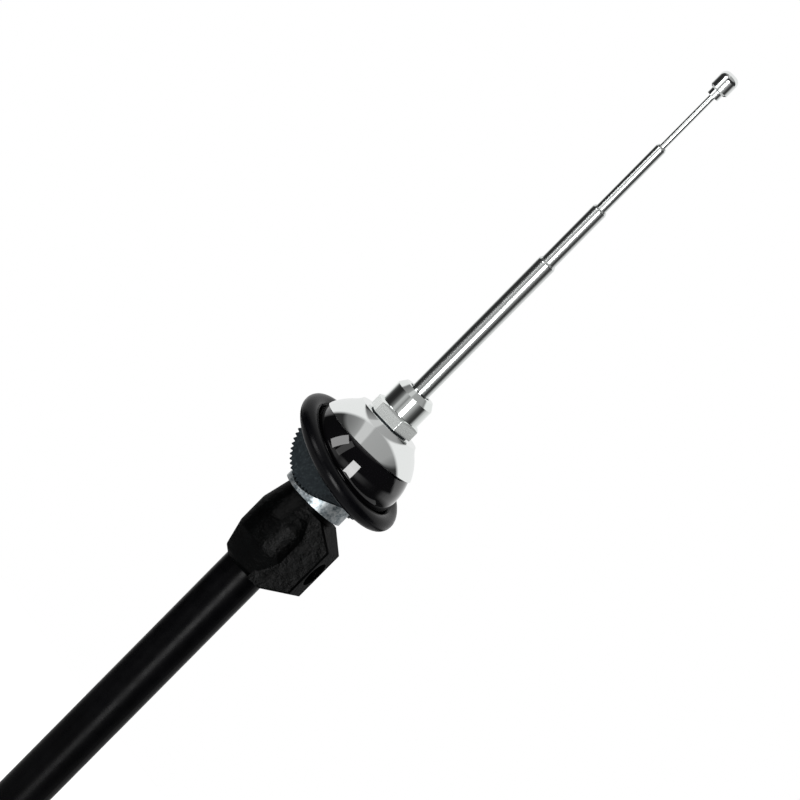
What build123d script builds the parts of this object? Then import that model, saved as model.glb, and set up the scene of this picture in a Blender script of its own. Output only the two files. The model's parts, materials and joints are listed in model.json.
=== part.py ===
from build123d import *
from math import asin, cos, degrees, radians, sin, sqrt, tan
import os

# Telescopic wing aerial: four sliding sections on a ball base that tilts, with
# the tube that swallows them hanging below and a coaxial socket in the side.
# Millimetres. The origin is the ball's centre, where the tilt axis (+Y) passes.
# +Z runs along the mast to its tip. The wing's outward normal leans towards +X.

# Tilt
wing_lean = 18.0            # degrees from the mast to the wing's normal, as it stands
tilt_each_way = 18.0        # degrees the mast can lean to either side of the normal
turn_clearance = 0.2        # between the curved faces that tilt past each other
slot_clearance = 0.3        # from the threaded sleeve to the slots that it swings in

# Ball base, measured from the ball's centre along the wing's normal
ball_r = 16.25
ball_wall = 2.0             # at the crown, under the chrome cover
wing_face = -3.7            # underside of the gasket, where the wing panel lies
flange_reach = 1.25         # of the ball's foot flange past the ball
flange_thick = 1.3

# Rubber gasket
bead_r = 2.5
bead_offset = 1.0           # from the flange's rim out to the bead's centre
web_thick = 1.5             # under the ball's flange
web_reach = 3.75            # of the web inwards from the ball's outside
lip_gap = 0.45              # open groove between the lip and the ball
lip_height = 0.35
lip_lean = 31.0             # degrees from the crest to where the bead meets the lip

# Toothed rocker under the wing
rocker_r = 14.0             # at the tips of the teeth
rocker_width = 19.5
tooth_pitch = 6.0           # degrees
tooth_depth = 0.75
tooth_tip = 0.3             # flat at the tip
tooth_root = 0.2            # flat at the root

# Saddle ring and head
ring_r = 9.85
ring_web = 1.1              # left under the saddle's lowest line
head_top_r = 8.2
head_r = 10.3
head_cone = 8.7             # height of the upper cone
head_barrel = 8.7           # height of the straight barrel
head_taper = 7.6            # height of the lower taper
head_foot_reach = 1.75      # of the taper's foot past the lip
head_lip = 1.4              # height of the rounding under the taper
head_lip_wall = 0.4         # of the lip round the lower tube

# Side outlet of the head
outlet_heading = 22.0       # degrees about the mast from +X
outlet_reach = 15.0         # end face from the mast's axis
outlet_width = 10.6         # of the end face
outlet_flare = 12.0         # degrees that each side spreads towards the mast
outlet_root = 4.0           # distance from the mast's axis where the sides stop
outlet_brow = 1.6           # flat top below the head's top
outlet_brow_reach = 8.4     # outer end of the flat top
outlet_drop = 6.1           # upper edge of the end face below the head's top
outlet_height = 15.6        # of the end face
outlet_heel_reach = 8.1     # where the sloped underside meets the head's foot
outlet_bevel = 0.5

# Coaxial socket in the outlet
socket_drop = 13.7          # axis below the head's top
socket_wall = 1.0
socket_bore_r = 3.5
socket_setback = 2.4        # mouth of the shell behind the outlet's end face
plug_way_r = 4.0            # hole in the outlet in front of the shell
insulator_r = 3.0
insulator_thick = 2.2
insulator_setback = 1.4     # rear of the shell from the contact tube
contact_r = 1.2
contact_bore_r = 0.7
contact_bore_depth = 1.8
lead_thick = 0.8
lead_width = 1.6
lead_height = 3.0

# Threaded sleeve through the ball, and its liner
sleeve_r = 4.0
sleeve_wall = 0.8
sleeve_flange_reach = 2.5
sleeve_flange_thick = 1.5
sleeve_depth = 8.7          # foot of the sleeve below the head's top
earth_thick = 0.5
earth_width = 4.0
earth_reach = 4.4           # of the tongue over the socket's shell
liner_flange_reach = 1.1    # past the contact tube
liner_flange_thick = 2.5
thread_clearance = 0.05
pass_clearance = 0.1        # of the holes that the sleeve passes through

# Chrome cover, washer and cap nut
cover_wall = 0.35
cover_edge = 6.8            # height of the cover's lower edge
cover_shoulder = 12.0       # height where the dome goes over into a cone
cover_flatten = 2.5         # of the crown's flat below the full dome
washer_r = 6.3
washer_thick = 0.35
hex_flats = 13.0
hex_height = 3.85
hex_heading = -6.0          # degrees about the mast of one of the hexagon's faces
hex_edge = 0.15             # rounding of the edges between its faces
collar_r = 6.1
collar_height = 5.8
cap_top_r = 4.8
cap_chamfer = 1.9
cap_roof = 1.6
mast_hole_r = 3.3
bush_setback = 0.2          # top of the guide bush below the nut's
seal_height = 1.2
bush_flange = 0.9           # of the guide bush, between the seal and the nut's roof

# Mast: radius and top of each tube, outermost first. The inner lengths follow.
running_clearance = 0.05    # of the outer tube in its liner and bush
lip_clearance = 0.03        # of each tube in the rolled lip of the next
grip_clearance = 0.03       # of each friction sleeve in the tube that it slides in
tube_wall = 0.3
lip_length = 0.9
lip_slope = 0.7             # height of the rolled-in slope outside each top
lip_turn = 0.35             # width of the same slope
lip_round = 0.5
tube_a_r = 2.75
tube_a_top = 75.7
tube_a_length = 270.0
tube_b_r = 2.25
tube_b_top = 95.9
tube_c_r = 1.6
tube_c_top = 119.35
rod_r = 0.9
push_gap = 1.8              # left under each inner section when it is pushed in
stand_out = 1.8             # of each inner tube from the next when pushed in
collar_gap = 0.2            # from the last tube to the tip's collar when pushed in
neck_length = 6.0
neck_depth = 0.22
grip_slot = 0.5
rod_bush_length = 5.0

# Foot of the outer tube
foot_spigot = 5.0
foot_height = 4.0
foot_gap = 0.2              # between the foot and the contact tube
contact_height = 2.4
contact_depth = 0.7
contact_slits = 6
contact_slit_width = 0.6
contact_slit_depth = 1.4    # from the top of the contact ring

# Tip
tip_collar = 138.3          # height of the collar's underside
tip_collar_r = 1.85
tip_collar_height = 1.95
tip_knob_r = 2.8
tip_knob_height = 6.05
tip_edge = 0.6
tip_round = 1.9
tip_bore_depth = 5.6

# Tubes below the head
contact_tube_r = 4.8
contact_tube_wall = 0.3
spacer_wall = 1.05          # between the contact tube and the lower tube
lower_tube_wall = 0.8
lower_tube_seat = 7.1       # of the tube inside the head's foot
lower_tube_step = 0.35      # that the seated end is turned down by
cap_stand = 1.6             # of the outer mast tube above the cap nut when pushed in
foot_room = 2.8             # left under the mast's foot when it is pushed in
plug_floor = 1.0            # of the plug under the contact tube
spacer_height = 3.7
plug_height = 2.5
plug_spigot = 4.0
plug_round = 1.0
drain_r = 1.0

# Cutters run this far past the faces that they cut
overrun = 1.0

# Sizes worked out from those above
flange_r = ball_r + flange_reach
bead_centre_r = flange_r + bead_offset
bead_height = wing_face + bead_r
web_top = wing_face + web_thick
flange_top = web_top + flange_thick
cover_bore_r = ball_r + turn_clearance
cover_r = cover_bore_r + cover_wall
cover_flat = cover_r - cover_flatten
crown_r = cover_flat - cover_wall - turn_clearance
core_r = crown_r - ball_wall
saddle_r = rocker_r + turn_clearance
ring_bottom = -saddle_r - ring_web
head_shoulder = ring_bottom - head_cone
head_waist = head_shoulder - head_barrel
head_foot = head_waist - head_taper
head_bottom = head_foot - head_lip
outlet_flat = ring_bottom - outlet_brow
outlet_top = ring_bottom - outlet_drop
outlet_low = outlet_top - outlet_height
socket_height = ring_bottom - socket_drop
socket_r = socket_bore_r + socket_wall
socket_mouth = outlet_reach - socket_setback
contact_tube_bore_r = contact_tube_r - contact_tube_wall
socket_back = contact_tube_r + insulator_setback
insulator_front = socket_back + insulator_thick
stem_back = contact_tube_r + lead_thick
sleeve_foot = ring_bottom - sleeve_depth
sleeve_bore_r = sleeve_r - sleeve_wall
sleeve_flange_r = sleeve_r + sleeve_flange_reach
pass_r = sleeve_r + pass_clearance
liner_bore_r = tube_a_r + running_clearance
liner_flange_top = sleeve_foot - earth_thick
liner_foot = liner_flange_top - liner_flange_thick
washer_top = cover_flat + washer_thick
hex_top = washer_top + hex_height
collar_top = hex_top + collar_height
cap_top = collar_top + cap_chamfer
cap_ceiling = cap_top - cap_roof
nut_bore_r = sleeve_r + thread_clearance
seal_top = cap_ceiling - bush_flange
sleeve_top = seal_top - seal_height
tube_b_length = tube_a_length - foot_spigot - push_gap + stand_out
tube_c_length = tube_b_length - neck_length - neck_depth - push_gap + stand_out
rod_length = tube_c_length - neck_length - neck_depth - push_gap + collar_gap
tube_a_foot = tube_a_top - tube_a_length
tube_b_foot = tube_b_top - tube_b_length
tube_c_foot = tube_c_top - tube_c_length
rod_foot = tip_collar - rod_length
foot_bottom = tube_a_foot - foot_height
foot_r = contact_tube_bore_r - foot_gap
push_travel = tube_a_top - cap_top - cap_stand
contact_tube_bottom = foot_bottom - push_travel - foot_room
lower_tube_top = head_bottom + lower_tube_seat
lower_tube_bottom = contact_tube_bottom - plug_floor
lower_tube_bore_r = contact_tube_r + spacer_wall
lower_tube_r = lower_tube_bore_r + lower_tube_wall
lower_tube_seat_r = lower_tube_r - lower_tube_step
head_lip_r = lower_tube_seat_r + head_lip_wall
head_foot_r = head_lip_r + head_foot_reach
plug_top = lower_tube_bottom + plug_spigot
through = 2 * tube_a_length


def turned(*corners):
    """Solid turned about the mast's axis from (radius, height) corners."""
    return revolve(Plane.XZ * make_face(Polyline(*corners, close=True)), axis=Axis.Z)


def ring(outer_r, inner_r, bottom, top):
    """Plain ring or tube about the mast's axis."""
    return turned((inner_r, bottom), (outer_r, bottom), (outer_r, top), (inner_r, top))


def rounded(corners, *rounds):
    """Face from (radius, height) corners, with (corner, radius) pairs rounded."""
    face = make_face(Polyline(*corners, close=True))
    for corner, radius in rounds:
        nearest = face.vertices().sort_by_distance(Vertex(*corner))[0]
        face = fillet(nearest, radius)
    return face


def across(face, width):
    """Prism of a face drawn in X and Z, centred on the tilt plane."""
    return extrude(Plane.XZ * face, width / 2, both=True)


def on_wing(solid):
    """Turn a solid drawn along the wing's normal to where the wing lies."""
    return Rot(0, wing_lean, 0) * solid


def to_outlet(solid):
    """Turn a solid drawn towards +X to the heading of the outlet."""
    return Rot(0, 0, outlet_heading) * solid


def swing_half(height):
    """Half of the room that the sleeve needs at a height, tilted either way."""
    lean = radians(tilt_each_way)
    return abs(height) * tan(lean) + (sleeve_r + slot_clearance) / cos(lean)


def swing_slot(low, high):
    """Cutter for the slot that the sleeve swings in, between two heights."""
    corners = [
        (-swing_half(low), low),
        (swing_half(low), low),
        (swing_half(high), high),
        (-swing_half(high), high),
    ]
    return across(make_face(Polyline(*corners, close=True)), 2 * (sleeve_r + slot_clearance))


def crown_cutter():
    """All above the path that the cover's flat sweeps over the ball's crown."""
    lean = radians(tilt_each_way)
    far = 2 * ball_r
    touch = Vector(crown_r * sin(lean), crown_r * cos(lean))
    end = touch + Vector(cos(lean), -sin(lean)) * far
    arc = ThreePointArc((-touch.X, touch.Y), (0, crown_r), (touch.X, touch.Y))
    rest = Polyline(
        (touch.X, touch.Y),
        (end.X, end.Y),
        (end.X, far),
        (-end.X, far),
        (-end.X, end.Y),
        (-touch.X, touch.Y),
    )
    return across(make_face([arc, *rest.edges()]), 2 * far)


def ball_base():
    """Black half ball with its foot flange, slotted for the sleeve."""
    outside = CenterArc((0, 0), ball_r, 0, 90)
    inside = CenterArc((0, 0), core_r, 0, 90)
    foot = Polyline(
        (ball_r, 0),
        (ball_r, flange_top),
        (flange_r, flange_top),
        (flange_r, web_top),
        (core_r, web_top),
        (core_r, 0),
    )
    axis_line = Line((0, core_r), (0, ball_r))
    shell = revolve(Plane.XZ * make_face([outside, *foot.edges(), inside, axis_line]), axis=Axis.Z)
    return on_wing(shell - crown_cutter() - swing_slot(core_r / 2, ball_r))


def gasket():
    """Rubber bead with a lip round the ball and a web under its flange."""
    lean = radians(lip_lean)
    low = (bead_centre_r, wing_face)
    outer = (bead_centre_r + bead_r, bead_height)
    crest = (bead_centre_r - bead_r * sin(lean), bead_height + bead_r * cos(lean))
    bead = ThreePointArc(low, outer, crest)
    inside = Polyline(
        crest,
        (ball_r + lip_gap, lip_height),
        (ball_r, flange_top),
        (flange_r, flange_top),
        (flange_r, web_top),
        (ball_r - web_reach, web_top),
        (ball_r - web_reach, wing_face),
        low,
    )
    return on_wing(revolve(Plane.XZ * make_face([bead, *inside.edges()]), axis=Axis.Z))


def tooth_gap():
    """Cutter for one gap between teeth, at the bottom of the rocker."""
    pitch = radians(tooth_pitch) * rocker_r
    mouth = (pitch - tooth_tip) / 2
    over = tooth_depth / 2
    flare = mouth + (mouth - tooth_root / 2) * over / tooth_depth
    root = tooth_depth - rocker_r
    corners = [
        (-tooth_root / 2, root),
        (-flare, -rocker_r - over),
        (flare, -rocker_r - over),
        (tooth_root / 2, root),
    ]
    return across(make_face(Polyline(*corners, close=True)), rocker_width + 2 * overrun)


def rocker():
    """Toothed segment that clamps the wing from below and sets the tilt."""
    half = sqrt(rocker_r ** 2 - wing_face ** 2)
    arc = ThreePointArc((-half, wing_face), (0, -rocker_r), (half, wing_face))
    blank = across(make_face([arc, Line((half, wing_face), (-half, wing_face))]), rocker_width)
    reach = degrees(asin(half / rocker_r))
    count = int(reach / tooth_pitch)
    gap = tooth_gap()
    gaps = [Rot(0, (i + 0.5) * tooth_pitch, 0) * gap for i in range(-count, count)]
    return on_wing(blank - gaps - swing_slot(-rocker_r - overrun, wing_face + overrun))


def saddle_ring():
    """Zinc ring whose hollow top rides on the rocker."""
    blank = ring(ring_r, pass_r, ring_bottom, -saddle_r / 2)
    return blank - Rot(90, 0, 0) * Cylinder(saddle_r, through)


def sleeve():
    """Threaded sleeve with the flange that pulls the head up."""
    return turned(
        (sleeve_bore_r, sleeve_foot),
        (sleeve_flange_r, sleeve_foot),
        (sleeve_flange_r, sleeve_foot + sleeve_flange_thick),
        (sleeve_r, sleeve_foot + sleeve_flange_thick),
        (sleeve_r, sleeve_top),
        (sleeve_bore_r, sleeve_top),
    )


def liner():
    """Insulating tube that the mast slides in, with a flange on the contact tube."""
    flange = contact_tube_r + liner_flange_reach
    return turned(
        (liner_bore_r, liner_foot),
        (flange, liner_foot),
        (flange, liner_flange_top),
        (sleeve_bore_r, liner_flange_top),
        (sleeve_bore_r, sleeve_top),
        (liner_bore_r, sleeve_top),
    )


def earth_tag():
    """Flat tag from under the sleeve's flange to the top of the socket."""
    reach = socket_back + earth_reach
    disc = ring(sleeve_flange_r, sleeve_bore_r, liner_flange_top, sleeve_foot)
    tongue = Pos(reach / 2, 0, liner_flange_top + earth_thick / 2) * Box(reach, earth_width, earth_thick)
    return to_outlet(disc + (tongue - Cylinder(sleeve_bore_r, through)))


def in_socket(solid):
    """Turn a solid drawn about the mast's axis to the axis of the socket."""
    return to_outlet(Pos(0, 0, socket_height) * Rot(0, 90, 0) * solid)


def socket_shell():
    """Outer contact of the socket, stepped in where it holds the insulator."""
    return in_socket(turned(
        (insulator_r, socket_back),
        (socket_r, socket_back),
        (socket_r, socket_mouth),
        (socket_bore_r, socket_mouth),
        (socket_bore_r, insulator_front),
        (insulator_r, insulator_front),
    ))


def socket_insulator():
    """Disc that holds the centre contact in the shell."""
    return in_socket(ring(insulator_r, contact_r, socket_back, insulator_front))


def socket_contact():
    """Centre contact, flush with the insulator and bored for the plug's pin."""
    bottom = insulator_front - contact_bore_depth
    return in_socket(turned(
        (0, stem_back),
        (contact_r, stem_back),
        (contact_r, insulator_front),
        (contact_bore_r, insulator_front),
        (contact_bore_r, bottom),
        (0, bottom),
    ))


def contact_lead():
    """Brass pad that joins the centre contact to the contact tube."""
    pad = Pos(stem_back / 2, 0, socket_height) * Box(stem_back, lead_width, lead_height)
    return to_outlet(pad - Cylinder(contact_tube_r, through))


def outlet_block():
    """Block that carries the socket, narrowing outwards, with sloped shoulders."""
    side = [
        (0, outlet_flat),
        (outlet_brow_reach, outlet_flat),
        (outlet_reach, outlet_top),
        (outlet_reach, outlet_low),
        (outlet_heel_reach, head_bottom),
        (0, head_bottom),
    ]
    half = outlet_width / 2
    spread = half + (outlet_reach - outlet_root) * tan(radians(outlet_flare))
    plan = [
        (0, 0),
        (outlet_root, -spread),
        (outlet_reach, -half),
        (outlet_reach, half),
        (outlet_root, spread),
    ]
    profile = across(make_face(Polyline(*side, close=True)), 2 * (spread + overrun))
    footprint = extrude(make_face(Polyline(*plan, close=True)), outlet_flat - head_bottom)
    block = profile & (Pos(0, 0, head_bottom) * footprint)
    outer_faces = block.faces().sort_by(Axis.X)[-3:]
    edges = [edge for face in outer_faces for edge in face.edges().filter_by(Axis.Y, reverse=True)]
    return to_outlet(chamfer(edges, outlet_bevel))


def head(inserts):
    """Black moulding round its metal inserts, bored for the lower tube."""
    corners = [
        (0, ring_bottom),
        (head_top_r, ring_bottom),
        (head_r, head_shoulder),
        (head_r, head_waist),
        (head_foot_r, head_foot),
        (head_lip_r, head_bottom),
        (0, head_bottom),
    ]
    profile = rounded(corners, (corners[2], 3.0), (corners[3], 3.0), (corners[4], 0.8))
    body = revolve(Plane.XZ * profile, axis=Axis.Z) + outlet_block()
    mast_way = Cylinder(sleeve_bore_r, through)
    contact_way = ring(contact_tube_r, 0, head_bottom - overrun, liner_foot)
    tube_seat = ring(lower_tube_seat_r, 0, head_bottom - overrun, lower_tube_top)
    socket_way = in_socket(turned(
        (0, contact_tube_r),
        (contact_r, contact_tube_r),
        (contact_r, socket_back),
        (socket_r, socket_back),
        (socket_r, socket_mouth),
        (plug_way_r, socket_mouth),
        (plug_way_r, outlet_reach + overrun),
        (0, outlet_reach + overrun),
    ))
    body = body - mast_way - contact_way - tube_seat - socket_way
    for insert in inserts:
        body = body - insert
    return body


def cover():
    """Chrome cap pressed to the ball's curve, with a flat crown for the washer."""
    edge_out = (sqrt(cover_r ** 2 - cover_edge ** 2), cover_edge)
    edge_in = (sqrt(cover_bore_r ** 2 - cover_edge ** 2), cover_edge)
    shoulder_r = sqrt(cover_r ** 2 - cover_shoulder ** 2)
    rim_r = shoulder_r - (cover_flat - cover_shoulder) * cover_shoulder / shoulder_r
    shoulder = (shoulder_r, cover_shoulder)
    under = cover_flat - cover_wall
    flat_in = (sqrt(cover_bore_r ** 2 - under ** 2), under)
    outside = RadiusArc(edge_out, shoulder, -cover_r)
    inside = RadiusArc(flat_in, edge_in, cover_bore_r)
    edge = Line(edge_in, edge_out)
    crown = Polyline(shoulder, (rim_r, cover_flat), (pass_r, cover_flat), (pass_r, under), flat_in)
    return revolve(Plane.XZ * make_face([outside, *crown.edges(), inside, edge]), axis=Axis.Z)


def washer():
    """Thin washer between the cover and the cap nut."""
    return ring(washer_r, pass_r, cover_flat, washer_top)


def cap_nut():
    """Hexagon and collar turned in one, bored for the sleeve and the mast."""
    corner_r = hex_flats / sqrt(3)
    face_r = hex_flats / 2
    slope = (corner_r - face_r) * tan(radians(30))
    outline = RegularPolygon(face_r, 6, major_radius=False, rotation=30 + hex_heading)
    hexagon = Pos(0, 0, washer_top) * extrude(fillet(outline.vertices(), hex_edge), hex_height)
    bevelled = turned(
        (0, washer_top),
        (corner_r, washer_top),
        (corner_r, hex_top - slope),
        (face_r, hex_top),
        (0, hex_top),
    )
    collar = turned(
        (0, washer_top),
        (collar_r, washer_top),
        (collar_r, collar_top),
        (cap_top_r, cap_top),
        (0, cap_top),
    )
    thread_way = ring(nut_bore_r, 0, washer_top - overrun, cap_ceiling)
    return (hexagon & bevelled) + collar - thread_way - Cylinder(mast_hole_r, through)


def guide_bush():
    """Plastic bush in the mouth of the cap nut."""
    return turned(
        (liner_bore_r, seal_top),
        (nut_bore_r, seal_top),
        (nut_bore_r, cap_ceiling),
        (mast_hole_r, cap_ceiling),
        (mast_hole_r, cap_top - bush_setback),
        (liner_bore_r, cap_top - bush_setback),
    )


def mast_seal():
    """Rubber ring on top of the sleeve that wipes the mast."""
    return ring(nut_bore_r, liner_bore_r, sleeve_top, seal_top)


def mast_tube(outer_r, top, foot, inner_r, neck):
    """Thin tube with its top rolled in to the next one, and a neck at the foot if asked."""
    bore_r = outer_r - tube_wall
    lip_r = inner_r + lip_clearance
    corners = [
        (outer_r, top - lip_slope),
        (outer_r - lip_turn, top),
        (lip_r, top),
        (lip_r, top - lip_length),
        (bore_r, top - lip_length - (bore_r - lip_r)),
    ]
    if neck:
        shoulder = foot + neck_length
        corners += [
            (bore_r, shoulder + neck_depth),
            (bore_r - neck_depth, shoulder),
            (bore_r - neck_depth, foot),
            (outer_r - neck_depth, foot),
            (outer_r - neck_depth, shoulder),
            (outer_r, shoulder + neck_depth),
        ]
    else:
        corners += [(bore_r, foot), (outer_r, foot)]
    return revolve(Plane.XZ * rounded(corners, (corners[0], lip_round)), axis=Axis.Z)


def split_ring(outer_r, inner_r, foot, height):
    """Ring with one slot through its side."""
    slot = Pos(outer_r, 0, foot + height / 2) * Box(2 * outer_r, grip_slot, 2 * height)
    return ring(outer_r, inner_r, foot, foot + height) - slot


def grip(bore_r, tube_r, foot):
    """Split friction sleeve on the necked foot of a tube, in the next tube's bore."""
    height = neck_length - grip_clearance
    return split_ring(bore_r - grip_clearance, tube_r - neck_depth, foot, height)


def foot_plug():
    """Brass foot of the outer tube, grooved for its contact ring."""
    groove_low = foot_bottom + (foot_height - contact_height) / 2
    groove_high = groove_low + contact_height
    spigot_r = tube_a_r - tube_wall
    return turned(
        (0, foot_bottom),
        (foot_r, foot_bottom),
        (foot_r, groove_low),
        (foot_r - contact_depth, groove_low),
        (foot_r - contact_depth, groove_high),
        (foot_r, groove_high),
        (foot_r, tube_a_foot),
        (spigot_r, tube_a_foot),
        (spigot_r, tube_a_foot + foot_spigot),
        (0, tube_a_foot + foot_spigot),
    )


def foot_contact():
    """Sprung ring that wipes the contact tube, slit into fingers."""
    low = foot_bottom + (foot_height - contact_height) / 2
    high = low + contact_height
    body = ring(contact_tube_bore_r - running_clearance, foot_r - contact_depth, low, high)
    slit = Pos(foot_r, 0, high) * Box(2 * foot_r, contact_slit_width, 2 * contact_slit_depth)
    return body - [Rot(0, 0, i * 360 / contact_slits) * slit for i in range(contact_slits)]


def rod():
    """Thin solid top section."""
    top = tip_collar + tip_bore_depth
    return turned((0, rod_foot), (rod_r, rod_foot), (rod_r, top), (0, top))


def rod_bush():
    """Friction bush on the foot of the rod."""
    return split_ring(tube_c_r - tube_wall - grip_clearance, rod_r, rod_foot, rod_bush_length)


def tip():
    """Collar and knob turned in one and pressed on the rod."""
    knob = tip_collar + tip_collar_height
    top = knob + tip_knob_height
    corners = [
        (0, tip_collar),
        (tip_collar_r, tip_collar),
        (tip_collar_r, knob),
        (tip_knob_r - tip_edge, knob),
        (tip_knob_r, knob + tip_edge),
        (tip_knob_r, top),
        (0, top),
    ]
    profile = rounded(corners, (corners[5], tip_round))
    bore = ring(rod_r, 0, tip_collar - overrun, tip_collar + tip_bore_depth)
    return revolve(Plane.XZ * profile, axis=Axis.Z) - bore


def contact_tube():
    """Brass tube that the foot contact slides in."""
    return ring(contact_tube_r, contact_tube_bore_r, contact_tube_bottom, liner_foot)


def lower_tube():
    """Black tube under the head that swallows the mast, turned down where it is seated."""
    return turned(
        (lower_tube_bore_r, lower_tube_bottom),
        (lower_tube_r, lower_tube_bottom),
        (lower_tube_r, head_bottom),
        (lower_tube_seat_r, head_bottom),
        (lower_tube_seat_r, lower_tube_top),
        (lower_tube_bore_r, lower_tube_top),
    )


def tube_spacer():
    """Insulating ring between the two tubes, at the top."""
    return ring(lower_tube_bore_r, contact_tube_r, lower_tube_top - spacer_height, lower_tube_top)


def end_plug():
    """Plastic plug that closes both tubes at the bottom, with a drain hole."""
    bottom = lower_tube_bottom - plug_height
    corners = [
        (drain_r, bottom),
        (lower_tube_r, bottom),
        (lower_tube_r, lower_tube_bottom),
        (lower_tube_bore_r, lower_tube_bottom),
        (lower_tube_bore_r, plug_top),
        (contact_tube_r, plug_top),
        (contact_tube_r, contact_tube_bottom),
        (drain_r, contact_tube_bottom),
    ]
    return revolve(Plane.XZ * rounded(corners, (corners[1], plug_round)), axis=Axis.Z)


def build():
    """Every piece of the aerial by name."""
    inserts = {
        "threaded_sleeve": sleeve(),
        "insulating_liner": liner(),
        "earth_tag": earth_tag(),
        "socket_shell": socket_shell(),
        "socket_insulator": socket_insulator(),
        "socket_contact": socket_contact(),
        "contact_lead": contact_lead(),
    }
    rest = {
        "ball_base": ball_base(),
        "rubber_gasket": gasket(),
        "toothed_rocker": rocker(),
        "saddle_ring": saddle_ring(),
        "head_housing": head(inserts.values()),
        "chrome_cover": cover(),
        "crown_washer": washer(),
        "cap_nut": cap_nut(),
        "guide_bush": guide_bush(),
        "mast_seal": mast_seal(),
        "contact_tube": contact_tube(),
        "lower_tube": lower_tube(),
        "tube_spacer": tube_spacer(),
        "end_plug": end_plug(),
        "mast_tube_a": mast_tube(tube_a_r, tube_a_top, tube_a_foot, tube_b_r, False),
        "foot_plug": foot_plug(),
        "foot_contact": foot_contact(),
        "mast_tube_b": mast_tube(tube_b_r, tube_b_top, tube_b_foot, tube_c_r, True),
        "friction_sleeve_b": grip(tube_a_r - tube_wall, tube_b_r, tube_b_foot),
        "mast_tube_c": mast_tube(tube_c_r, tube_c_top, tube_c_foot, rod_r, True),
        "friction_sleeve_c": grip(tube_b_r - tube_wall, tube_c_r, tube_c_foot),
        "mast_rod": rod(),
        "rod_bush": rod_bush(),
        "tip_knob": tip(),
    }
    return inserts | rest


os.makedirs("parts", exist_ok=True)
for name, solid in build().items():
    export_step(solid, f"parts/{name}.step")
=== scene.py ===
import json
from math import asin, cos, pi, radians, sin, tan

import bpy
from mathutils import Matrix, Quaternion, Vector


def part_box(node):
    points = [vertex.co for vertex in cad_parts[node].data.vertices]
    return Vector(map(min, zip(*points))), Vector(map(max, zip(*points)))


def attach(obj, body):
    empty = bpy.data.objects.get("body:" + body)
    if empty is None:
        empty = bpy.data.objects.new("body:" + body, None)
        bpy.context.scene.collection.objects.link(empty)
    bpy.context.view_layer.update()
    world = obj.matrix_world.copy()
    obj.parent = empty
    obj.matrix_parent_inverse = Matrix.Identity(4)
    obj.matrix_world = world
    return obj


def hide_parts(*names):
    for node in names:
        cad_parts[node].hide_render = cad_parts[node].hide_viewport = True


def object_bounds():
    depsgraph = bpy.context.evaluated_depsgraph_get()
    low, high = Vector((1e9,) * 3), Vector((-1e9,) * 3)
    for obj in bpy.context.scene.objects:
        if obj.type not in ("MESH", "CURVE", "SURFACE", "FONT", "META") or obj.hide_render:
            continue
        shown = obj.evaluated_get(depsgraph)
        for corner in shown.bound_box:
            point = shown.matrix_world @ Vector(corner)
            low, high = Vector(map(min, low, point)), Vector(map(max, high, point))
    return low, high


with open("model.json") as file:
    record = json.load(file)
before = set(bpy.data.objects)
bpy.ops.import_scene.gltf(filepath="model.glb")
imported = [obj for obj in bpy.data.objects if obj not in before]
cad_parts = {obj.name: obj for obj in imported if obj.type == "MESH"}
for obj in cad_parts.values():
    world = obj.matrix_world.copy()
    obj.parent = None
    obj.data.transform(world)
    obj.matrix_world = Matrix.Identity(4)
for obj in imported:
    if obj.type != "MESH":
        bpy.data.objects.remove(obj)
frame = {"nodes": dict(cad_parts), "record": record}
nodes = frame["nodes"]
cad_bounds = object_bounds()

# The photograph's view, in metres and degrees, in the frame of the part
PHOTO_AZIMUTH = 37.0        # of the camera about the mast
PHOTO_ELEVATION = 7.7       # how far the mast leans towards the camera
MAST_ON_PHOTO = 45.3        # degrees of the mast above the photograph's lower edge
CAMERA_DISTANCE = 1.6
NEAREST_SEEN = 0.05         # from the camera
SENSOR_WIDTH = 36.0         # in millimetres, as the lens
VIEW_WIDTH = 0.216          # what the photograph's width spans at the object
AIM_HEIGHT = 0.0208         # along the mast of the photograph's middle
AIM_ASIDE = -0.00232        # from the mast to the photograph's middle

# The chrome cover in millimetres: the dome of the solid, with the hub that the photograph shows
COVER_RADIUS = 16.8
COVER_WALL = 0.35
COVER_HOLE = 4.1            # radius
HUB_FOOT = 12.25            # height where the dome ends
HUB_BEND = (10.32, 13.36)   # radius and height where the tangents of its hollow curve meet
HUB_TOP_RADIUS = 9.9
DOME_POINTS = 40            # on the dome's outline
HUB_POINTS = 16             # on the hub's outline
COVER_STEPS = 256           # round the cover
MM_IN_METRE = 1000

# The finishes and the floor, in metres and degrees
EDGE_ANGLE = 12             # between two faces from which their edge stays sharp
FLATS_TOP = (0.0177, 0.018)  # heights where the nut's flats go over into its polished collar
NOISE_SPAN = (0.3, 0.7)     # that most of a noise's values lie in
FLOOR_GAP = 0.004           # of the floor under the lower tube
FLOOR_SIZE = 1.2
FLOOR_LIFT = 0.6            # that the camera sees the floor lighter by

# What the studio shows level with the part: degrees about the mast from the camera,
# towards the photograph's right, and brightness
LEVEL_STUDIO = [
    (-180, 0.9), (-148, 0.95), (-133, 0.38), (-120, 0.08), (-105, 0.03), (-85, 0.02),
    (-71, 0.03), (-60, 0.1), (-50, 0.2), (-41, 0.48), (-30, 0.42), (-20, 0.24), (-10, 0.48),
    (0, 0.5), (22, 0.6), (32, 0.45), (43, 0.28), (54, 0.12), (66, 0.05), (80, 0.03),
    (87, 0.08), (98, 0.46), (112, 0.64), (150, 0.85), (180, 0.9),
]
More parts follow.
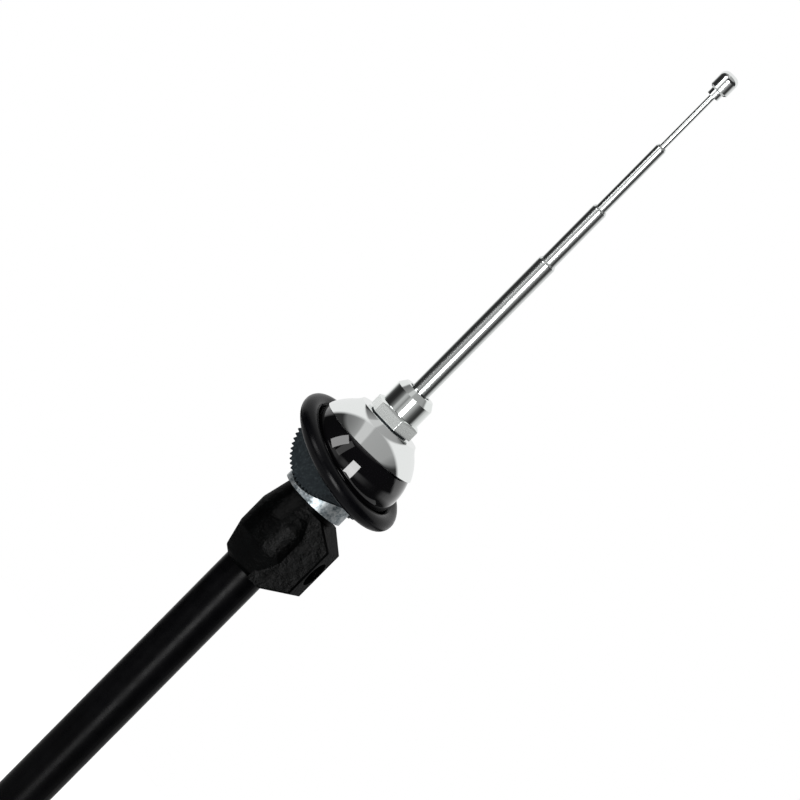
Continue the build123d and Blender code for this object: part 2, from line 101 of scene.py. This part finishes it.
# What it shows high up in front: how far aside, from -1 at the photograph's left to 1 at its
# right, and brightness
HIGH_STUDIO = [
    (-1.0, 0.1), (-0.85, 0.14), (-0.6, 0.26), (-0.47, 0.34), (-0.42, 0.6), (-0.2, 0.6),
    (-0.14, 0.38), (0.6, 0.34), (0.85, 0.14), (1.0, 0.1),
]
BEHIND = 0.85               # brightness of all that is overhead and behind
DARK_FRONT = 0.03           # of the front between level and high up, and of all that is low down
# Sines of the heights over which each zone goes over into the next
LEVEL_FOOT = (-0.26, -0.16)
LEVEL_TOP = (-0.05, 0.01)
DARK_TOP = (0.53, 0.62)
# Direction across the slanted edge of what is behind, towards the front, and where along it
# the one goes over into the other
FRONT_SLOPE = (1, -0.09, -0.54)
FRONT_EDGE = (-0.56, -0.44)
BOX_DISTANCE = 2.5          # of each soft box from the ball


def view_axes():
    """Unit vectors to the camera, across the mast and along it, as the photograph sees them."""
    a, e = radians(PHOTO_AZIMUTH), radians(PHOTO_ELEVATION)
    towards = Vector((sin(a) * cos(e), -cos(a) * cos(e), sin(e)))
    across = Vector((cos(a), sin(a), 0))
    return towards, across, towards.cross(across)


def add_camera():
    """Camera at the photograph's angle, rolled so that the mast leans as it does there."""
    towards, across, along = view_axes()
    roll = radians(MAST_ON_PHOTO)
    right = across * sin(roll) + along * cos(roll)
    up = along * sin(roll) - across * cos(roll)
    aim = Vector((0, 0, AIM_HEIGHT)) + across * AIM_ASIDE
    data = bpy.data.cameras.new("camera")
    data.sensor_width = SENSOR_WIDTH
    data.lens = data.sensor_width * CAMERA_DISTANCE / VIEW_WIDTH
    data.clip_start = NEAREST_SEEN
    camera = bpy.data.objects.new("camera", data)
    turn = Matrix((right, up, towards)).transposed().to_4x4()
    camera.matrix_world = Matrix.Translation(aim + towards * CAMERA_DISTANCE) @ turn
    bpy.context.scene.collection.objects.link(camera)
    bpy.context.scene.camera = camera


class Nodes:
    """A node tree, with short calls for the nodes that it needs."""

    def __init__(self, tree):
        self.tree = tree

    def node(self, kind, **values):
        """Adds a node, with attributes by name and sockets by name with spaces as underscores."""
        made = self.tree.nodes.new(kind)
        for key, value in values.items():
            if hasattr(made, key):
                setattr(made, key, value)
            else:
                made.inputs[key.replace("_", " ")].default_value = value
        return made

    def link(self, source, target):
        self.tree.links.new(source, target)

    def ramp(self, source, *stops):
        """Colour ramp over (position, colour or grey) stops."""
        made = self.node("ShaderNodeValToRGB")
        points = made.color_ramp.elements
        while len(points) < len(stops):
            points.new(0.5)
        for point, (position, colour) in zip(points, stops):
            point.position = position
            point.color = (*colour, 1) if isinstance(colour, tuple) else (colour, colour, colour, 1)
        self.link(source, made.inputs["Fac"])
        return made.outputs["Color"]

    def between(self, source, low, high, at_low=0.0, at_high=1.0):
        """Goes evenly from one value to another while the source goes from low to high."""
        made = self.node(
            "ShaderNodeMapRange", From_Min=low, From_Max=high, To_Min=at_low, To_Max=at_high
        )
        self.link(source, made.inputs["Value"])
        return made.outputs["Result"]

    def mixed(self, factor, first, second):
        """Blend of two colours or greys, each a socket or a number."""
        made = self.node("ShaderNodeMix", data_type="RGBA")
        self.link(factor, made.inputs["Factor"])
        for name, value in (("A", first), ("B", second)):
            socket = [s for s in made.inputs if s.name == name and s.type == "RGBA"][0]
            if isinstance(value, float):
                socket.default_value = (value, value, value, 1)
            else:
                self.link(value, socket)
        return [s for s in made.outputs if s.type == "RGBA"][0]


class Shader(Nodes):
    """A material's nodes round its one surface shader."""

    def __init__(self, name):
        self.material = bpy.data.materials.new(name)
        self.material.use_nodes = True
        super().__init__(self.material.node_tree)
        self.surface = self.tree.nodes["Principled BSDF"]

    def set(self, **values):
        """Sets the shader's own sockets, by name with spaces as underscores."""
        for key, value in values.items():
            self.surface.inputs[key.replace("_", " ")].default_value = value

    def place(self, scale=(1, 1, 1)):
        """Object coordinates in metres, stretched by a scale."""
        where = self.node("ShaderNodeTexCoord")
        mapping = self.node("ShaderNodeMapping")
        mapping.inputs["Scale"].default_value = scale
        self.link(where.outputs["Object"], mapping.inputs["Vector"])
        return mapping.outputs["Vector"]

    def noise(self, scale, detail=4.0, stretch=(1, 1, 1), rough=0.5):
        """Cloudy values, with a scale in clouds for each metre."""
        made = self.node("ShaderNodeTexNoise", Scale=scale, Detail=detail, Roughness=rough)
        self.link(self.place(stretch), made.inputs["Vector"])
        return made.outputs["Fac"]

    def colour_from(self, source):
        self.link(source, self.surface.inputs["Base Color"])

    def rough_from(self, source, low, high):
        """Roughness between two values over the noise's span."""
        self.link(self.between(source, *NOISE_SPAN, low, high), self.surface.inputs["Roughness"])

    def bump_from(self, source, height, strength=1.0, *sockets):
        """Bump of a height in metres, on the surface or on the shader's sockets given."""
        made = self.node("ShaderNodeBump", Strength=strength, Distance=height)
        self.link(source, made.inputs["Height"])
        for socket in sockets or ("Normal",):
            self.link(made.outputs["Normal"], self.surface.inputs[socket])


def chrome():
    """Polished plate with the faintest ripple."""
    s = Shader("chrome")
    s.set(Metallic=1.0, Base_Color=(0.9, 0.92, 0.91, 1))
    s.rough_from(s.noise(300), 0.03, 0.07)
    s.bump_from(s.noise(120, 2), 0.00001, 0.2)
    return s.material


def nut_plate():
    """Polished like the chrome on the collar, and satin on the hexagon's flats."""
    s = Shader("nut_plate")
    parts = s.node("ShaderNodeSeparateXYZ")
    s.link(s.place(), parts.inputs["Vector"])
    polished = s.between(parts.outputs["Z"], *FLATS_TOP)
    grain = s.noise(2500, 4)
    s.set(Base_Color=(0.88, 0.91, 0.89, 1))
    satin = s.between(grain, *NOISE_SPAN, 0.12, 0.2)
    s.link(s.mixed(polished, 0.7, 1.0), s.surface.inputs["Metallic"])
    s.link(s.mixed(polished, satin, 0.05), s.surface.inputs["Roughness"])
    s.bump_from(grain, 0.00001, 0.4)
    return s.material


def mast_nickel():
    """Drawn and polished tube, with fine lines along it."""
    s = Shader("mast_nickel")
    s.set(Metallic=1.0)
    lines = s.noise(9000, 3, (1, 1, 0.004))
    s.colour_from(s.ramp(lines, (0.3, (0.7, 0.72, 0.71)), (0.7, (0.84, 0.87, 0.86))))
    s.rough_from(lines, 0.1, 0.2)
    s.bump_from(lines, 0.00001, 0.3)
    return s.material


def gloss_black():
    """Polished black moulding."""
    s = Shader("gloss_black")
    clouds = s.noise(60)
    s.colour_from(s.ramp(clouds, (0.3, (0.001, 0.001, 0.0012)), (0.7, (0.0025, 0.0022, 0.003))))
    s.set(Coat_Weight=1.0, Coat_Roughness=0.03, Coat_IOR=1.6, Specular_IOR_Level=0.05)
    s.rough_from(s.noise(400), 0.05, 0.1)
    s.bump_from(s.noise(150, 2), 0.00002, 0.15)
    return s.material


def black_rubber():
    """Satin moulded rubber."""
    s = Shader("black_rubber")
    s.colour_from(s.ramp(s.noise(200), (0.3, (0.001, 0.001, 0.0015)), (0.7, (0.003, 0.003, 0.004))))
    s.set(Specular_IOR_Level=0.12)
    s.rough_from(s.noise(900), 0.2, 0.3)
    s.bump_from(s.noise(2500, 3), 0.00002, 0.4)
    return s.material


def dark_zinc():
    """Dull dark casting with a fine grain."""
    s = Shader("dark_zinc")
    grain = s.noise(1400, 6, rough=0.7)
    s.set(Metallic=0.55)
    s.colour_from(s.ramp(
        grain,
        (0.3, (0.008, 0.012, 0.015)),
        (0.55, (0.018, 0.026, 0.031)),
        (0.8, (0.07, 0.085, 0.09)),
    ))
    s.rough_from(grain, 0.45, 0.65)
    s.bump_from(grain, 0.00006, 0.6)
    return s.material


def bright_zinc():
    """Zinc plate, mottled where the casting shows through."""
    s = Shader("bright_zinc")
    patches = s.noise(650, 6, rough=0.7)
    s.set(Metallic=0.85)
    s.colour_from(s.ramp(
        patches,
        (0.34, (0.05, 0.065, 0.07)),
        (0.47, (0.27, 0.31, 0.33)),
        (0.6, (0.5, 0.53, 0.54)),
    ))
    s.rough_from(patches, 0.3, 0.45)
    s.bump_from(patches, 0.0001, 0.8)
    return s.material


def black_moulding():
    """Satin black moulding with cloudy duller patches."""
    s = Shader("black_moulding")
    clouds = s.noise(140, 6, rough=0.65)
    s.colour_from(s.ramp(clouds, (0.35, (0.0003, 0.0003, 0.0003)), (0.75, (0.002, 0.0024, 0.0024))))
    s.set(Specular_IOR_Level=0.0, Coat_Weight=0.1, Coat_Roughness=0.17)
    s.rough_from(clouds, 0.4, 0.6)
    s.bump_from(s.noise(330, 6, rough=0.65), 0.0004, 1.0, "Normal", "Coat Normal")
    return s.material


def black_enamel():
    """Enamelled tube, satin black."""
    s = Shader("black_enamel")
    clouds = s.noise(90)
    s.colour_from(s.ramp(clouds, (0.3, (0.0003, 0.0003, 0.0005)), (0.7, (0.0015, 0.0015, 0.002))))
    s.set(Specular_IOR_Level=0.07)
    s.rough_from(s.noise(300), 0.24, 0.36)
    s.bump_from(s.noise(700, 3), 0.00003, 0.4)
    return s.material


def brass():
    """Drawn brass with fine lines, bare."""
    s = Shader("plain_brass")
    lines = s.noise(3000, 3)
    s.set(Metallic=1.0)
    s.colour_from(s.ramp(lines, (0.3, (0.6, 0.42, 0.16)), (0.7, (0.8, 0.6, 0.28))))
    s.rough_from(lines, 0.2, 0.35)
    s.bump_from(lines, 0.00002, 0.3)
    return s.material


def tinned():
    """Brass with a dull tin plate."""
    s = Shader("tinned_brass")
    patches = s.noise(1500, 4)
    s.set(Metallic=1.0)
    s.colour_from(s.ramp(patches, (0.3, (0.6, 0.59, 0.56)), (0.7, (0.8, 0.79, 0.76))))
    s.rough_from(patches, 0.25, 0.4)
    return s.material


def nylon(name, dark, light):
    """Moulded nylon between two shades."""
    s = Shader(name)
    clouds = s.noise(500, 4)
    s.colour_from(s.ramp(clouds, (0.3, dark), (0.7, light)))
    s.rough_from(clouds, 0.4, 0.55)
    s.bump_from(s.noise(2500, 3), 0.00002, 0.4)
    return s.material


def smooth(mesh):
    """Smooth shading, but for the edges."""
    mesh.shade_smooth()
    mesh.set_sharp_from_angle(angle=radians(EDGE_ANGLE))


def dress_nodes():
    """Gives each solid its material and smooth shading, and returns the materials by name.

    The material is that of the solid's slot, but the washer gets the dark zinc as painted shade for
    the thin shadow line under the nut, and the nut is half satin.
    """
    made = {
        "chrome": chrome(),
        "nut_plate": nut_plate(),
        "mast_nickel": mast_nickel(),
        "gloss_black": gloss_black(),
        "black_rubber": black_rubber(),
        "dark_zinc": dark_zinc(),
        "bright_zinc": bright_zinc(),
        "black_moulding": black_moulding(),
        "black_tube": black_enamel(),
        "plain_brass": brass(),
        "tinned_brass": tinned(),
        "white_nylon": nylon("white_nylon", (0.72, 0.71, 0.67), (0.85, 0.84, 0.8)),
        "black_nylon": nylon("black_nylon", (0.012, 0.012, 0.012), (0.025, 0.025, 0.025)),
    }
    looks = {part["node"]: part["material_slot"] for part in frame["record"]["subparts"]}
    # painted shade: the washer gets dark zinc instead of its chrome slot, to stand for the shadow
    # line under the nut
    looks |= {"crown_washer": "dark_zinc", "cap_nut": "nut_plate"}
    for name, slot in looks.items():
        mesh = nodes[name].data
        mesh.materials.clear()
        mesh.materials.append(made[slot])
        smooth(mesh)
    return made


def turned(name, outline, steps):
    """Piece from a closed outline of (radius, height) points in millimetres, about the mast."""
    verts = []
    for step in range(steps):
        angle = 2 * pi * step / steps
        for radius, height in outline:
            point = (radius * cos(angle), radius * sin(angle), height)
            verts.append(tuple(value / MM_IN_METRE for value in point))
    count = len(outline)
    faces = []
    for step in range(steps):
        first, second = step * count, (step + 1) % steps * count
        for i in range(count):
            j = (i + 1) % count
            faces.append((first + i, second + i, second + j, first + j))
    mesh = bpy.data.meshes.new(name)
    mesh.from_pydata(verts, [], faces)
    return bpy.data.objects.new(name, mesh)


def arc(radius, low, high, points):
    """Points on a ball's outline from one height to another."""
    start, end = asin(low / radius), asin(high / radius)
    angles = [start + (end - start) * i / (points - 1) for i in range(points)]
    return [(radius * cos(angle), radius * sin(angle)) for angle in angles]


def hollow(start, bend, end, points):
    """Points on the curve that leaves one end towards the bend and reaches the other from it."""
    made = []
    for i in range(points):
        t = i / (points - 1)
        shares = (1 - t) ** 2, 2 * t * (1 - t), t ** 2
        made.append(tuple(
            shares[0] * a + shares[1] * b + shares[2] * c for a, b, c in zip(start, bend, end)
        ))
    return made


def add_cover(material):
    """The chrome cover again, with the hollow hub under the washer that the photograph shows."""
    low, high = (corner[2] * MM_IN_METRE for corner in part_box("chrome_cover"))
    outside = arc(COVER_RADIUS, low, HUB_FOOT, DOME_POINTS)
    hub = hollow(outside.pop(), HUB_BEND, (HUB_TOP_RADIUS, high), HUB_POINTS)
    crown = [(COVER_HOLE, high), (COVER_HOLE, high - COVER_WALL)]
    inside = arc(COVER_RADIUS - COVER_WALL, low, high - COVER_WALL, DOME_POINTS)[::-1]
    cover = turned("cover_with_hub", outside + hub + crown + inside, COVER_STEPS)
    cover.data.materials.append(material)
    bpy.context.scene.collection.objects.link(cover)
    smooth(cover.data)
    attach(cover, "head")
    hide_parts("chrome_cover")


def add_floor():
    """Plain pale floor under the part, which keeps the part's shadow."""
    low, _ = cad_bounds
    height = low[2] - FLOOR_GAP
    half = FLOOR_SIZE / 2
    corners = [(x * half, y * half, height) for x, y in ((-1, -1), (1, -1), (1, 1), (-1, 1))]
    mesh = bpy.data.meshes.new("floor")
    mesh.from_pydata(corners, [], [(0, 1, 2, 3)])
    floor = bpy.data.objects.new("floor", mesh)
    bpy.context.scene.collection.objects.link(floor)
    s = Shader("floor")
    s.set(Base_Color=(0.85, 0.85, 0.85, 1), Roughness=0.9, Emission_Color=(1, 1, 1, 1))
    path = s.node("ShaderNodeLightPath")
    lift = s.between(path.outputs["Is Camera Ray"], 0.0, 1.0, 0.0, FLOOR_LIFT)
    s.link(lift, s.surface.inputs["Emission Strength"])
    mesh.materials.append(s.material)


def studio(w):
    """Brightness of the studio by direction, in zones that go over into each other.

    Low down all is dark. Level with the part, greys go round it. Above that the front is dark and
    then grey, and what lies behind and overhead is bright.
    """
    where = w.node("ShaderNodeTexCoord").outputs["Generated"]
    turn = w.node("ShaderNodeMapping")
    turn.inputs["Rotation"].default_value = (0, 0, radians(90 - PHOTO_AZIMUTH))
    w.link(where, turn.inputs["Vector"])
    around = w.node("ShaderNodeTexGradient", gradient_type="RADIAL")
    w.link(turn.outputs["Vector"], around.inputs["Vector"])
    parts = w.node("ShaderNodeSeparateXYZ")
    w.link(turn.outputs["Vector"], parts.inputs["Vector"])
    aside, up = parts.outputs["Y"], parts.outputs["Z"]
    level_stops = ((angle / 360 + 0.5, value) for angle, value in LEVEL_STUDIO)
    level = w.ramp(around.outputs["Fac"], *level_stops)
    high_stops = ((place / 2 + 0.5, value) for place, value in HIGH_STUDIO)
    high = w.ramp(w.between(aside, -1.0, 1.0), *high_stops)
    front = w.mixed(w.between(up, *DARK_TOP), DARK_FRONT, high)
    slope = w.node("ShaderNodeVectorMath", operation="DOT_PRODUCT")
    slope.inputs[1].default_value = FRONT_SLOPE
    w.link(turn.outputs["Vector"], slope.inputs[0])
    upper = w.mixed(w.between(slope.outputs["Value"], *FRONT_EDGE), BEHIND, front)
    above = w.mixed(w.between(up, *LEVEL_TOP), level, upper)
    return w.mixed(w.between(up, *LEVEL_FOOT), DARK_FRONT, above)


def add_world():
    """The studio's light from all round, plain white where the camera sees it."""
    world = bpy.data.worlds.new("studio")
    world.use_nodes = True
    w = Nodes(world.node_tree)
    light = w.tree.nodes["Background"]
    w.link(studio(w), light.inputs["Color"])
    white = w.node("ShaderNodeBackground", Color=(1, 1, 1, 1))
    path = w.node("ShaderNodeLightPath")
    mix = w.node("ShaderNodeMixShader")
    w.link(path.outputs["Is Camera Ray"], mix.inputs[0])
    w.link(light.outputs["Background"], mix.inputs[1])
    w.link(white.outputs["Background"], mix.inputs[2])
    w.link(mix.outputs["Shader"], w.tree.nodes["World Output"].inputs["Surface"])
    bpy.context.scene.world = world


def soft_box(name, aside, height, spread, radiance, lean=0.0):
    """Soft box of a radiance, placed and sized in degrees as the ball sees it.

    Its middle lies aside of the camera's heading and at a height above the level. Its spread is
    its width and height, and it leans about its own middle.
    """
    heading = radians(PHOTO_AZIMUTH - 90 + aside)
    rise = radians(height)
    direction = Vector((cos(heading) * cos(rise), sin(heading) * cos(rise), sin(rise)))
    width, tall = (2 * BOX_DISTANCE * tan(radians(angle / 2)) for angle in spread)
    data = bpy.data.lights.new(name, "AREA")
    data.shape = "RECTANGLE"
    data.size, data.size_y = width, tall
    data.energy = radiance * pi * width * tall
    lamp = bpy.data.objects.new(name, data)
    lamp.location = direction * BOX_DISTANCE
    lamp.rotation_mode = "QUATERNION"
    turn = Quaternion((0, 0, 1), radians(lean))
    lamp.rotation_quaternion = (-direction).to_track_quat("-Z", "Y") @ turn
    bpy.context.scene.collection.objects.link(lamp)


def add_lights():
    """The soft boxes that the ball shows in the photograph, two bright and one dim."""
    soft_box("front_box", 11, -6, (20, 32), 11.0)
    soft_box("left_box", -46, 15, (18, 32), 4.5, -25)
    soft_box("dim_box", -28, 14, (13, 34), 0.8, -10)


materials = dress_nodes()
add_cover(materials["chrome"])
add_floor()
add_world()
add_lights()
add_camera()
bpy.context.scene.view_settings.view_transform = "Standard"
